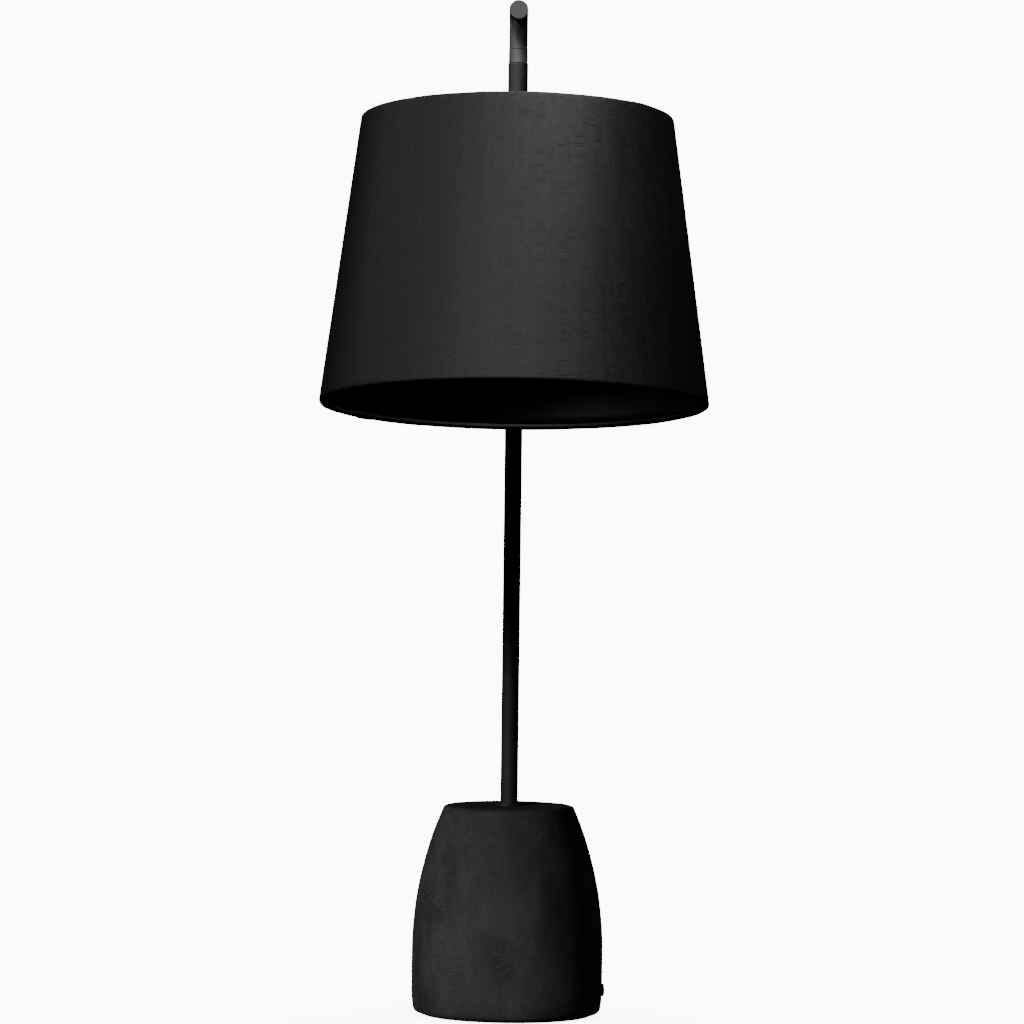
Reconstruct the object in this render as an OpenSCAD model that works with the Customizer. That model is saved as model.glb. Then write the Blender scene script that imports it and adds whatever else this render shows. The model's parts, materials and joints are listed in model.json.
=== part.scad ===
// Table lamp: a cast concrete base, a steel pole that bends forward over the shade,
// a swivelling drop tube with a tilt knuckle, and a conical fabric shade on a drop spider.
// Millimetres. +Z is up, the front is -Y. The origin is the centre of the foot pad's underside.

/* [Base] */
// Largest diameter of the concrete base
base_d = 153.2; // [146:0.2:165]
// Height of the base with its foot pad
base_h = 167.8; // [150:0.2:180]
// Height at which the flank starts to lean in
belly_z = 50.8; // [40:0.2:60]
// Radius of the flank's curve
flank_r = 287; // [260:1:360]
// Rounding of the top edge
top_round = 4; // [2:0.5:8]
// Height of the cable hole above the table
gland_z = 18.8; // [16:0.2:24]
// Direction of the cable hole, counted from the front towards the right
gland_turn = 100; // [60:1:180]

/* [Pole] */
// Outer diameter of the pole
pole_d = 14; // [13.6:0.1:14.4]
// Outer diameter of the bent arm
arm_d = 14.7; // [14.5:0.1:15.5]
// Height of the arm's centre line
arm_z = 792.5; // [780:0.5:820]
// Height of the joint between pole and arm
splice_z = 600; // [500:5:650]
// Distance from the pole to the drop tube
reach = 175; // [172:1:190]
// How far the arm's end stands past the drop tube
nose = 27; // [20:1:40]
// Radius of the arm's bend, at the centre line
bend_r = 40; // [32:1:60]

/* [Swivel and knuckle] */
// Outer diameter of the stub under the arm
stub_d = 14.4; // [14:0.1:14.4]
// Outer diameter of the swivel collar
collar_d = 14.7; // [14.5:0.1:15.5]
// Outer diameter of the drop tube
drop_d = 15.4; // [15.2:0.1:16.5]
// Height of the seam above the collar
seam_top_z = 763.4; // [762:0.1:766]
// Height of the seam where the drop tube turns
seam_turn_z = 752.7; // [751:0.1:754]
// Height of the tilt knuckle's axis
pivot_z = 713.5; // [710:0.5:716]
// Half of the swivel's travel
swivel_travel = 90; // [45:5:120]

/* [Shade] */
// Diameter of the shade at its top edge
shade_top_d = 240.8; // [230:0.2:250]
// Diameter of the shade at its bottom edge
shade_bottom_d = 299.4; // [290:0.2:310]
// Height of the shade along its own axis
shade_h = 222.2; // [205:0.1:235]
// Lean of the shade, its top away from the front
shade_tilt = 8; // [0:0.1:15]
// Depth of the shade's top edge below the knuckle's axis
shade_drop = 3.9; // [3:0.1:8]
// Diameter of the bulb
bulb_d = 60; // [45:1:70]

/* [Hidden] */
$fn = 96;

// Colours
black_concrete = [0.10, 0.10, 0.10];
black_paint = [0.09, 0.09, 0.09];
black_cloth = [0.08, 0.08, 0.08];
black_plastic = [0.12, 0.12, 0.12];
zinc = [0.70, 0.70, 0.72];
brass_gold = [0.78, 0.62, 0.32];
felt = [0.05, 0.05, 0.05];
opal = [0.95, 0.94, 0.90];

// Threads and tubes
thread_d = 10;          // hollow lamp thread
thread_hole_d = 6.6;    // wire way through it
tube_wall = 1;
lead_d = 5;
cord_hole_d = 6.8;
running = 0.05;         // radial clearance of a turning fit
chamfer = 0.4;
over = 1;               // how far a cut runs past the faces it opens

// Base
base_r = base_d / 2;
pad_t = 1.5;
pad_r = 67;
plate_r = 52;
plate_t = 2;
plate_gap = 0.5;
pocket_r = 42;
pocket_top_z = 70;
foot_side_z = 20;       // the side curves in a little below this height
foot_side_r = 85;
foot_round = 5;
plate_screw_r = 47;     // distance of the plate's screws from the axis
plate_screw_count = 3;
gland_flange_d = 10.5;
gland_flange_t = 2.8;
gland_body_d = 8.7;
gland_body_l = 18;
gland_seat = base_r - 0.5;

// Pole
escutcheon_d = 21;
escutcheon_t = 1.2;
pole_foot_z = base_h + escutcheon_t;
insert_l = 24;
nut_flat_r = 8.08;      // corner radius of the pole's hexagon nut
nut_t = 5;
washer_t = 2;
lock_washer_t = 1.5;
nipple_low_z = pocket_top_z - washer_t - lock_washer_t - nut_t - 3;
coupler_half = 25;
bend_z = arm_z - bend_r;
cap_t = 1.6;
cap_plug_l = 9;
arm_inner_d = arm_d - 2 * tube_wall;
arm_front_y = reach + nose;

// Swivel
stub_inner_d = 12;
insert_hole_d = thread_d;
stub_insert_l = 12;
swivel_head_t = 4;      // solid end of the drop tube that turns on the nipple
drop_inner_d = 12.6;
swivel_play = 0.1;
swivel_nut_d = 11.9;
swivel_nut_t = 3.5;
swivel_washer_t = 1.6;
drop_top_z = seam_turn_z - swivel_play / 2;
drop_head_z = drop_top_z - swivel_head_t;
swivel_nut_z = drop_head_z - swivel_play - swivel_washer_t - swivel_nut_t;
stop_pin_d = 1;
stop_track_r = 6.35;
stop_track_w = 1.2;
stop_track_depth = 2.2;
stop_pin_span = asin(stop_pin_d / 2 / stop_track_r) + 2;

// Knuckle
ear_r = 7;
ear_t = 3.2;
tongue_half = 2.45;
friction_washer_t = 0.8;
ear_in_x = tongue_half + friction_washer_t + 0.1;
ear_out_x = ear_in_x + ear_t;
pivot_screw_d = 4;
fork_low_z = 7.2;       // the fork's underside above the knuckle's axis
fork_top_z = 14;
fork_plug_z = 22;
tongue_body_z = -8.5;   // the tongue's shoulder below the axis
tongue_low_z = -19;
tongue_thread_l = 8;
tongue_r = 6.5;

// Lampholder, heights below the knuckle's axis along the shade's axis
holder_top_z = -22;
holder_cap_low_z = -40;
holder_d = 39;
holder_wall = 1.8;
holder_low_z = -78;
flange_z = -43;
flange_d = 47;
hub_t = 3;
ring_nut_t = 6;
ring_nut_d = 50;
ring_nut_flutes = 24;   // finger grips round its rim
nipple_end_z = -30;
lead_end_z = -46;        // the lead ends on the ceramic insert
ceramic_top_z = -44;
ceramic_t = 8;
sleeve_d = 28.4;
bulb_seat_z = -54;
bulb_cap_d = 26.4;
bulb_cap_low_z = -82;
bulb_bottom_z = -170;

// Shade
shade_top_z = -shade_drop;
shade_low_z = shade_top_z - shade_h;
edge_wire_d = 3;
hem_t = 0.5;
bead_r = edge_wire_d / 2 + hem_t;
skin_t = 0.5;
hem_strip_h = 10;
spider_wire_d = 3.6;
spider_arms = 3;
skin_top_z = shade_top_z - 2 * bead_r;
skin_low_z = shade_low_z + 2 * bead_r;

// Radius of the shade's outer face at a height
function shade_r(z) = shade_top_d / 2
    + (shade_bottom_d - shade_top_d) / 2 * (shade_top_z - z) / shade_h;

// Points along a circular arc; the first one is left out where another arc ends there
function arc(x, y, r, from, to, n, first = 1) =
    [for (i = [first:n]) [x + r * cos(from + (to - from) * i / n),
                          y + r * sin(from + (to - from) * i / n)]];

// The base's outline: foot rounding, lower side, flank and top rounding, tangent to each other
foot_turn = asin((foot_side_z - pad_t - foot_round) / (foot_side_r - foot_round));
foot_x = base_r - foot_side_r + (foot_side_r - foot_round) * cos(foot_turn);
flank_turn = asin((base_h - top_round - belly_z) / (flank_r - top_round));
top_x = base_r - flank_r + (flank_r - top_round) * cos(flank_turn);
base_outline = concat(
    [[0, pad_t]],
    arc(foot_x, pad_t + foot_round, foot_round, -90, -foot_turn, 6, 0),
    arc(base_r - foot_side_r, foot_side_z, foot_side_r, -foot_turn, 0, 4),
    arc(base_r - flank_r, belly_z, flank_r, 0, flank_turn, 16, 0),
    arc(top_x, base_h - top_round, top_round, flank_turn, 90, 6),
    [[0, base_h]]
);

// Shared shapes

module ring(d_out, d_in, h) {
    difference() {
        cylinder(d = d_out, h = h);
        translate([0, 0, -over]) cylinder(d = d_in, h = h + 2 * over);
    }
}

// Ring with a small bevel on both outer edges
module bevelled_ring(d_out, d_in, h, bevel = chamfer) {
    r = d_out / 2;
    rotate_extrude() polygon([
        [d_in / 2, 0], [r - bevel, 0], [r, bevel],
        [r, h - bevel], [r - bevel, h], [d_in / 2, h]
    ]);
}

// Round wire in a circle
module hoop(radius, d) {
    rotate_extrude() translate([radius, 0]) circle(d = d, $fn = 32);
}

// Quarter or half turn of a round bar in the plane of the pole and the arm.
// The angle is counted from the back (+Y) upwards.
module upright_bend(radius, d, from, turn) {
    rotate([90, 0, 90]) rotate([0, 0, from])
        rotate_extrude(angle = turn) translate([radius, 0]) circle(d = d);
}

module forward(y, z, l, d) {
    translate([0, -y, z]) rotate([90, 0, 0]) cylinder(d = d, h = l);
}

// Bar that follows the pole, the bend and the arm
module gooseneck(d, low_z, front_y) {
    translate([0, 0, low_z]) cylinder(d = d, h = bend_z - low_z);
    translate([0, -bend_r, bend_z]) upright_bend(bend_r, d, 0, 90);
    forward(bend_r, arm_z, front_y - bend_r, d);
}

module at_gland(distance) {
    rotate([0, 0, gland_turn - 90]) translate([distance, 0, gland_z]) rotate([0, 90, 0])
        children();
}

module at_drop(z) {
    translate([0, -reach, z]) children();
}

// The shade's own frame: origin at the knuckle's axis, leaning by the shade's tilt
module at_shade() {
    at_drop(pivot_z) rotate([-shade_tilt, 0, 0]) children();
}

module around(count, radius, turn = 90) {
    for (i = [0:count - 1]) rotate([0, 0, turn + i * 360 / count])
        translate([radius, 0, 0]) children();
}

// Base

module foot_pad() {
    color(felt) cylinder(r = pad_r, h = pad_t);
}

module base_body() {
    color(black_concrete) difference() {
        rotate_extrude() polygon(base_outline);
        translate([0, 0, pad_t - over]) cylinder(r = plate_r + plate_gap, h = plate_t + over);
        translate([0, 0, pad_t]) cylinder(r = pocket_r, h = pocket_top_z - pad_t);
        translate([0, 0, pocket_top_z - over])
            cylinder(d = thread_d + 0.6, h = base_h - pocket_top_z + 2 * over);
        at_gland(pocket_r - 6) cylinder(d = gland_body_d, h = base_r);
        at_gland(gland_seat) cylinder(d = gland_flange_d + 0.2, h = 10);
        around(plate_screw_count, plate_screw_r)
            translate([0, 0, pad_t]) cylinder(d = 4, h = 12);
    }
}

module base_plate() {
    color(zinc) difference() {
        translate([0, 0, pad_t]) cylinder(r = plate_r, h = plate_t);
        around(plate_screw_count, plate_screw_r)
            translate([0, 0, pad_t - over]) cylinder(d = 4, h = plate_t + 2 * over);
        around(plate_screw_count, plate_screw_r) translate([0, 0, pad_t - 0.01])
            cylinder(d1 = 7.4, d2 = 4, h = 1.7);
    }
}

module base_plate_screws() {
    color(zinc) around(plate_screw_count, plate_screw_r) translate([0, 0, pad_t]) difference() {
        union() {
            cylinder(d1 = 7.36, d2 = 4, h = 1.69);
            cylinder(d = 4, h = 11);
        }
        translate([-0.5, -4, -over]) cube([1, 8, over + 0.8]);
    }
}

module cable_gland() {
    color(black_plastic) at_gland(gland_seat) difference() {
        union() {
            bevelled_ring(gland_flange_d, cord_hole_d, gland_flange_t, 0.3);
            translate([0, 0, -gland_body_l])
                cylinder(d = gland_body_d, h = gland_body_l + 0.1);
        }
        translate([0, 0, -gland_body_l - over])
            cylinder(d = cord_hole_d, h = gland_body_l + gland_flange_t + 2 * over);
    }
}

// Three way block for the mains leads, under the pocket's ceiling
block_w = 30;
block_y = 17;
block_l = 15;
block_h = 13;
block_pitch = 9;

module terminal_block() {
    color(black_plastic) difference() {
        translate([-block_w / 2, block_y, pocket_top_z - block_h])
            cube([block_w, block_l, block_h]);
        for (i = [-1:1]) translate([i * block_pitch, block_y - over, pocket_top_z - 4])
            rotate([-90, 0, 0]) cylinder(d = 3, h = block_l + 2 * over);
        for (i = [-1:1]) translate([i * block_pitch, block_y + 10, pocket_top_z - block_h - over])
            cylinder(d = 3.6, h = block_h - 5.5 + over);
    }
}

module terminal_screws() {
    color(zinc) for (i = [-1:1])
        translate([i * block_pitch, block_y + 10, pocket_top_z - block_h + 1]) difference() {
            cylinder(d = 3.6, h = 5);
            translate([-0.4, -2, -over]) cube([0.8, 4, over + 0.8]);
        }
}

module pole_escutcheon() {
    color(black_paint) translate([0, 0, base_h])
        bevelled_ring(escutcheon_d, thread_d + 0.6, escutcheon_t);
}

module pole_insert() {
    color(zinc) translate([0, 0, pole_foot_z]) ring(pole_d - 2 * tube_wall, thread_d, insert_l);
}

module pole_nipple() {
    color(zinc) translate([0, 0, nipple_low_z])
        ring(thread_d, thread_hole_d, pole_foot_z + insert_l - 2 - nipple_low_z);
}

module pole_washer() {
    color(zinc) translate([0, 0, pocket_top_z - washer_t]) ring(30, thread_d + 0.4, washer_t);
}

module pole_lock_washer() {
    color(zinc) translate([0, 0, pocket_top_z - washer_t - lock_washer_t]) difference() {
        ring(18, thread_d + 0.4, lock_washer_t);
        for (i = [0:11]) rotate([0, 0, i * 30]) translate([7.4, -0.5, -over])
            cube([3, 1, lock_washer_t + 2 * over]);
    }
}

module pole_nut() {
    color(zinc) translate([0, 0, pocket_top_z - washer_t - lock_washer_t - nut_t]) difference() {
        cylinder(r = nut_flat_r, h = nut_t, $fn = 6);
        translate([0, 0, -over]) cylinder(d = thread_d, h = nut_t + 2 * over);
    }
}

// Pole and arm

module lower_pole() {
    color(black_paint) difference() {
        translate([0, 0, pole_foot_z])
            ring(pole_d, pole_d - 2 * tube_wall, splice_z - pole_foot_z);
        translate([0, 0, splice_z - coupler_half / 2]) rotate([-90, 0, 0])
            cylinder(d = 4, h = pole_d);
    }
}

module pole_coupler() {
    color(zinc) difference() {
        translate([0, 0, splice_z - coupler_half])
            ring(pole_d - 2 * tube_wall, 7, 2 * coupler_half);
        translate([0, 0, splice_z - coupler_half / 2]) rotate([-90, 0, 0])
            cylinder(d = 4, h = pole_d);
    }
}

module coupler_grub_screw() {
    color(zinc) translate([0, 0, splice_z - coupler_half / 2]) rotate([-90, 0, 0]) difference() {
        translate([0, 0, 3.6]) cylinder(d = 4, h = pole_d / 2 - 3.9);
        translate([0, 0, pole_d / 2 - 2]) cylinder(d = 2.2, h = 3, $fn = 6);
    }
}

module arm_tube() {
    color(black_paint) difference() {
        gooseneck(arm_d, splice_z, arm_front_y - cap_t);
        gooseneck(arm_inner_d, splice_z + coupler_half, arm_front_y);
        translate([0, 0, splice_z - over])
            cylinder(d = pole_d - 2 * tube_wall, h = coupler_half + 2 * over);
        at_drop(arm_z - arm_d) cylinder(d = stub_inner_d - 2, h = arm_d);
    }
}

module arm_end_cap() {
    color(black_paint) difference() {
        translate([0, -arm_front_y + cap_t, arm_z]) rotate([90, 0, 0]) union() {
            rotate_extrude() polygon([
                [0, 0], [arm_d / 2, 0], [arm_d / 2, cap_t - 0.55],
                [arm_d / 2 - 0.55, cap_t], [0, cap_t]
            ]);
            translate([0, 0, -cap_plug_l]) cylinder(d = arm_inner_d, h = cap_plug_l + 0.1);
        }
        translate([0, -arm_front_y + cap_t, arm_z]) rotate([90, 0, 0])
            translate([0, 0, -cap_plug_l - over]) cylinder(d = arm_inner_d - 3, h = cap_plug_l);
    }
}

module drop_stub() {
    stub_low_z = seam_top_z + 0.05;
    color(black_paint) difference() {
        at_drop(stub_low_z) rotate_extrude() polygon([
            [stub_inner_d / 2, 0], [stub_d / 2 - chamfer, 0], [stub_d / 2, chamfer],
            [stub_d / 2, arm_z - stub_low_z], [stub_inner_d / 2, arm_z - stub_low_z]
        ]);
        forward(bend_r, arm_z, reach + nose, arm_d);
    }
}

module stub_insert() {
    color(zinc) at_drop(seam_top_z + 0.05) ring(stub_inner_d, insert_hole_d, stub_insert_l);
}

// Swivel

module swivel_collar() {
    low_z = seam_turn_z + swivel_play / 2;
    color(black_paint) difference() {
        at_drop(low_z) bevelled_ring(collar_d, thread_d, seam_top_z - 0.05 - low_z);
        at_drop(low_z - over) translate([0, -stop_track_r, 0]) cylinder(d = stop_pin_d, h = 5);
    }
}

module swivel_nipple() {
    color(zinc) at_drop(swivel_nut_z - 1.5)
        ring(thread_d, thread_hole_d, seam_top_z + stub_insert_l - 1 - swivel_nut_z + 1.5);
}

module swivel_stop_pin() {
    color(zinc) at_drop(drop_top_z - stop_track_depth + 0.4) translate([0, -stop_track_r, 0])
        cylinder(d = stop_pin_d, h = stop_track_depth - 0.4 + swivel_play + 3.9);
}

module swivel_washer() {
    color(zinc) at_drop(drop_head_z - swivel_play - swivel_washer_t)
        ring(swivel_nut_d, thread_d + 0.1, swivel_washer_t);
}

module swivel_nut() {
    color(zinc) at_drop(swivel_nut_z) difference() {
        ring(swivel_nut_d, thread_d, swivel_nut_t);
        for (turn = [0, 90]) rotate([0, 0, turn]) translate([-0.6, -7, -over])
            cube([1.2, 14, over + 1]);
    }
}

// Flexible lead inside the pole and the arm, from the terminal block to the swivel
module pole_lead() {
    u_r = 10;
    u_z = 50;
    drop_bend = 10;
    color(black_plastic) union() {
        translate([0, 0, u_z]) cylinder(d = lead_d, h = bend_z - u_z);
        translate([0, u_r, u_z]) upright_bend(u_r, lead_d, 180, 180);
        translate([0, 2 * u_r, u_z]) cylinder(d = lead_d, h = pocket_top_z - block_h - u_z);
        translate([0, -bend_r, bend_z]) upright_bend(bend_r, lead_d, 0, 90);
        forward(bend_r, arm_z, reach - drop_bend - bend_r, lead_d);
        translate([0, -reach + drop_bend, arm_z - drop_bend])
            upright_bend(drop_bend, lead_d, 90, 90);
        at_drop(swivel_nut_z) cylinder(d = lead_d, h = arm_z - drop_bend - swivel_nut_z);
    }
}

module drop_tube() {
    low_z = pivot_z + fork_top_z;
    tube_h = drop_top_z - low_z;
    color(black_paint) at_drop(low_z) difference() {
        bevelled_ring(drop_d, thread_d + 2 * running, tube_h);
        translate([0, 0, -over]) cylinder(d = drop_inner_d, h = tube_h - swivel_head_t + over);
        translate([0, 0, tube_h - stop_track_depth])
            rotate([0, 0, -90 - swivel_travel - stop_pin_span])
            rotate_extrude(angle = 2 * (swivel_travel + stop_pin_span))
            translate([stop_track_r - stop_track_w / 2, 0])
            square([stop_track_w, stop_track_depth + over]);
    }
}

// Tilt knuckle. Its axis runs along X.

module across(x, l, d) {
    translate([x, 0, 0]) rotate([0, 90, 0]) cylinder(d = d, h = l);
}

module knuckle_fork() {
    color(black_paint) at_drop(pivot_z) difference() {
        union() {
            translate([0, 0, fork_low_z]) bevelled_ring(drop_d, 6, fork_top_z - fork_low_z);
            translate([0, 0, fork_top_z - 0.1])
                ring(drop_inner_d, 6, fork_plug_z - fork_top_z + 0.1);
            for (side = [-1, 1]) {
                x = side > 0 ? ear_in_x : -ear_out_x;
                across(x, ear_t, 2 * ear_r);
                intersection() {
                    translate([x, -ear_r, 0]) cube([ear_t, 2 * ear_r, fork_low_z + 1]);
                    cylinder(d = drop_d, h = fork_low_z + 2);
                }
            }
        }
        across(-20, 40, pivot_screw_d);
    }
}

module knuckle_washers() {
    color(zinc) at_drop(pivot_z) for (x = [tongue_half + 0.05, -tongue_half - 0.05 - friction_washer_t])
        difference() {
            across(x, friction_washer_t, 12);
            across(-20, 40, pivot_screw_d + 0.2);
        }
}

module knuckle_screw() {
    head_t = 2.4;
    color(zinc) at_drop(pivot_z) difference() {
        union() {
            across(-ear_out_x - head_t, head_t, 7);
            across(-ear_out_x, 2 * ear_out_x + 5, pivot_screw_d);
        }
        translate([-ear_out_x - head_t, 0, 0]) rotate([0, 90, 0])
            translate([0, 0, -over]) cylinder(d = 2.9, h = over + 1.4, $fn = 6);
    }
}

module knuckle_nut() {
    color(zinc) at_drop(pivot_z) difference() {
        translate([ear_out_x, 0, 0]) rotate([0, 90, 0]) cylinder(r = 4.04, h = 3.2, $fn = 6);
        across(-20, 40, pivot_screw_d);
    }
}

module drop_lead() {
    color(black_plastic) at_drop(pivot_z + fork_low_z)
        cylinder(d = lead_d, h = swivel_nut_z - pivot_z - fork_low_z - 0.2);
}

module knuckle_tongue() {
    color(black_paint) at_shade() difference() {
        union() {
            across(-tongue_half, 2 * tongue_half, 2 * tongue_r);
            translate([-tongue_half, -tongue_r, tongue_body_z])
                cube([2 * tongue_half, 2 * tongue_r, -tongue_body_z]);
            translate([0, 0, tongue_low_z])
                bevelled_ring(15, 0.02, tongue_body_z - tongue_low_z);
            translate([0, 0, tongue_low_z + 0.2]) cylinder(d = 8, h = 6);
        }
        across(-20, 40, pivot_screw_d + 2 * running);
        translate([0, 0, tongue_low_z - over]) cylinder(d = thread_d, h = tongue_thread_l + over);
    }
}

// Lampholder

module holder_nipple() {
    color(zinc) at_shade() translate([0, 0, nipple_end_z])
        ring(thread_d, thread_hole_d, tongue_low_z + tongue_thread_l - nipple_end_z);
}

module holder_lead() {
    color(black_plastic) at_shade() translate([0, 0, lead_end_z])
        cylinder(d = lead_d, h = tongue_low_z + tongue_thread_l - lead_end_z);
}

// Domed cap that closes the top of the lampholder
module lampholder_cap() {
    r = holder_d / 2;
    neck_r = 9;
    dome = r - neck_r;
    color(black_plastic) at_shade() rotate_extrude() polygon(concat(
        [[thread_d / 2, holder_top_z], [neck_r, holder_top_z]],
        arc(neck_r, holder_top_z - dome, dome, 90, 0, 8, 0),
        [[r, holder_cap_low_z], [r - holder_wall, holder_cap_low_z]],
        arc(neck_r, holder_top_z - dome, dome - holder_wall, 0, 90, 8, 0),
        [[thread_d / 2, holder_top_z - holder_wall]]
    ));
}

module lampholder_shell() {
    r = holder_d / 2;
    color(black_plastic) at_shade() rotate_extrude() polygon([
        [r - holder_wall, holder_cap_low_z], [r, holder_cap_low_z], [r, flange_z + 2],
        [flange_d / 2, flange_z + 2], [flange_d / 2, flange_z], [r, flange_z],
        [r, holder_low_z + 1], [r - 1, holder_low_z],
        [sleeve_d / 2 + 0.6, holder_low_z], [sleeve_d / 2 + 0.6, holder_low_z + 3],
        [r - holder_wall, holder_low_z + 3]
    ]);
}

module lampholder_insert() {
    r = holder_d / 2 - holder_wall;
    color(opal) at_shade() difference() {
        translate([0, 0, ceramic_top_z - ceramic_t]) cylinder(r = r - 0.2, h = ceramic_t);
        translate([0, 0, lead_end_z - 4]) cylinder(d = lead_d, h = 10);
    }
}

module screw_sleeve() {
    color(brass_gold) at_shade() translate([0, 0, holder_low_z + 3])
        ring(sleeve_d, sleeve_d - 1, ceramic_top_z - ceramic_t - holder_low_z - 3);
}

module centre_contact() {
    color(brass_gold) at_shade() translate([0, 0, bulb_seat_z + 0.2]) cylinder(d = 6, h = 1.8);
}

module shade_ring_nut() {
    low_z = flange_z - hub_t - ring_nut_t;
    color(black_plastic) at_shade() translate([0, 0, low_z]) difference() {
        bevelled_ring(ring_nut_d, holder_d, ring_nut_t, 1);
        around(ring_nut_flutes, ring_nut_d / 2 + 0.2) translate([0, 0, -over])
            cylinder(d = 2.4, h = ring_nut_t + 2 * over);
    }
}

// Shade

module spider_arm() {
    hub_x = 22;
    hub_z = flange_z - hub_t / 2;
    rim_x = shade_r(shade_top_z) - 2 * bead_r - 0.6;
    rim_z = shade_top_z - bead_r;
    run = rim_x - hub_x;
    rise = rim_z - hub_z;
    translate([hub_x, 0, hub_z]) rotate([0, 90 - atan2(rise, run), 0])
        cylinder(d = spider_wire_d, h = norm([run, rise]) + 0.8, $fn = 48);
}

module shade_spider() {
    color(black_paint) at_shade() difference() {
        union() {
            translate([0, 0, flange_z - hub_t]) ring(flange_d, holder_d + 0.6, hub_t);
            around(spider_arms, 0) spider_arm();
        }
        translate([0, 0, flange_z - hub_t - over]) cylinder(d = holder_d + 0.6, h = hub_t + 2 * over);
        translate([0, 0, flange_z]) cylinder(d = flange_d + 0.4, h = 6);
        translate([0, 0, flange_z - hub_t - 6]) cylinder(d = ring_nut_d + 0.4, h = 6);
        translate([0, 0, shade_top_z - bead_r])
            hoop(shade_r(shade_top_z) - bead_r, 2 * bead_r + 0.1);
    }
}

module edge_wire(z) {
    color(black_paint) at_shade() translate([0, 0, z])
        hoop(shade_r(z) - bead_r, edge_wire_d);
}

module shade_top_wire() { edge_wire(shade_top_z - bead_r); }
module shade_bottom_wire() { edge_wire(shade_low_z + bead_r); }

// Conical skin between two heights, its outer face set in from the shade's outside
module skin(low_z, top_z, inset, t) {
    rotate_extrude() polygon([
        [shade_r(low_z) - inset - t, low_z], [shade_r(low_z) - inset, low_z],
        [shade_r(top_z) - inset, top_z], [shade_r(top_z) - inset - t, top_z]
    ]);
}

module shade_fabric() {
    color(black_cloth) at_shade() skin(skin_low_z, skin_top_z, 0, skin_t);
}

module shade_lining() {
    color(black_cloth) at_shade() skin(skin_low_z, skin_top_z, skin_t, skin_t);
}

// Cloth rolled around the edge wire, with a strip glued inside the lining
module hem(wire_z, strip_low_z, strip_top_z) {
    color(black_cloth) at_shade() {
        translate([0, 0, wire_z]) rotate_extrude() translate([shade_r(wire_z) - bead_r, 0])
            difference() {
                circle(r = bead_r, $fn = 32);
                circle(d = edge_wire_d, $fn = 32);
            }
        skin(strip_low_z, strip_top_z, 2 * skin_t, hem_t);
    }
}

module shade_top_hem() {
    wire_z = shade_top_z - bead_r;
    hem(wire_z, wire_z - hem_strip_h, skin_top_z + 0.3);
}

module shade_bottom_hem() {
    wire_z = shade_low_z + bead_r;
    hem(wire_z, skin_low_z - 0.3, wire_z + hem_strip_h);
}

// Bulb

module bulb_cap() {
    color(zinc) at_shade() rotate_extrude() polygon([
        [0, bulb_seat_z], [4.5, bulb_seat_z], [5, bulb_seat_z - 1.5],
        [bulb_cap_d / 2 - 3, bulb_seat_z - 4], [bulb_cap_d / 2, bulb_seat_z - 7],
        [bulb_cap_d / 2, bulb_cap_low_z], [bulb_cap_d / 2 - 1, bulb_cap_low_z],
        [bulb_cap_d / 2 - 1, bulb_seat_z - 8], [0, bulb_seat_z - 8]
    ]);
}

// Hollow opal envelope: a sphere that runs into a narrowing neck
module bulb_glass() {
    r = bulb_d / 2;
    glass_t = 1;
    centre_z = bulb_bottom_z + r;
    neck_r = bulb_cap_d / 2 - 1;
    neck_z = bulb_cap_low_z;
    slant = 38;
    color(opal) at_shade() rotate_extrude() polygon(concat(
        [[neck_r - glass_t, neck_z + 4], [neck_r, neck_z + 4], [neck_r, neck_z]],
        arc(0, centre_z, r, slant, -90, 20, 0),
        arc(0, centre_z, r - glass_t, -90, slant, 20, 0),
        [[neck_r - glass_t, neck_z]]
    ));
}

foot_pad();
base_body();
base_plate();
base_plate_screws();
cable_gland();
terminal_block();
terminal_screws();
pole_escutcheon();
pole_insert();
pole_nipple();
pole_washer();
pole_lock_washer();
pole_nut();
lower_pole();
pole_coupler();
coupler_grub_screw();
arm_tube();
arm_end_cap();
drop_stub();
stub_insert();
swivel_collar();
swivel_nipple();
swivel_stop_pin();
swivel_washer();
swivel_nut();
pole_lead();
drop_tube();
knuckle_fork();
knuckle_washers();
knuckle_screw();
knuckle_nut();
drop_lead();
knuckle_tongue();
holder_nipple();
holder_lead();
lampholder_cap();
lampholder_shell();
lampholder_insert();
screw_sleeve();
centre_contact();
shade_ring_nut();
shade_spider();
shade_top_wire();
shade_bottom_wire();
shade_fabric();
shade_lining();
shade_top_hem();
shade_bottom_hem();
bulb_cap();
bulb_glass();
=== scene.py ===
"""Looks for the table lamp with shade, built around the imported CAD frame.

Every length is in metres, in the row's own frame: +Z up, the front is -Y, the origin is under
the base.
The cloth, the lining and the concrete are made here as fine meshes. The tubes, the knuckle,
the lampholder and the bulb are the CAD nodes with procedural materials.
"""
import json
import math
import random

import bpy
import numpy as np
from mathutils import Matrix, Vector, noise


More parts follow.
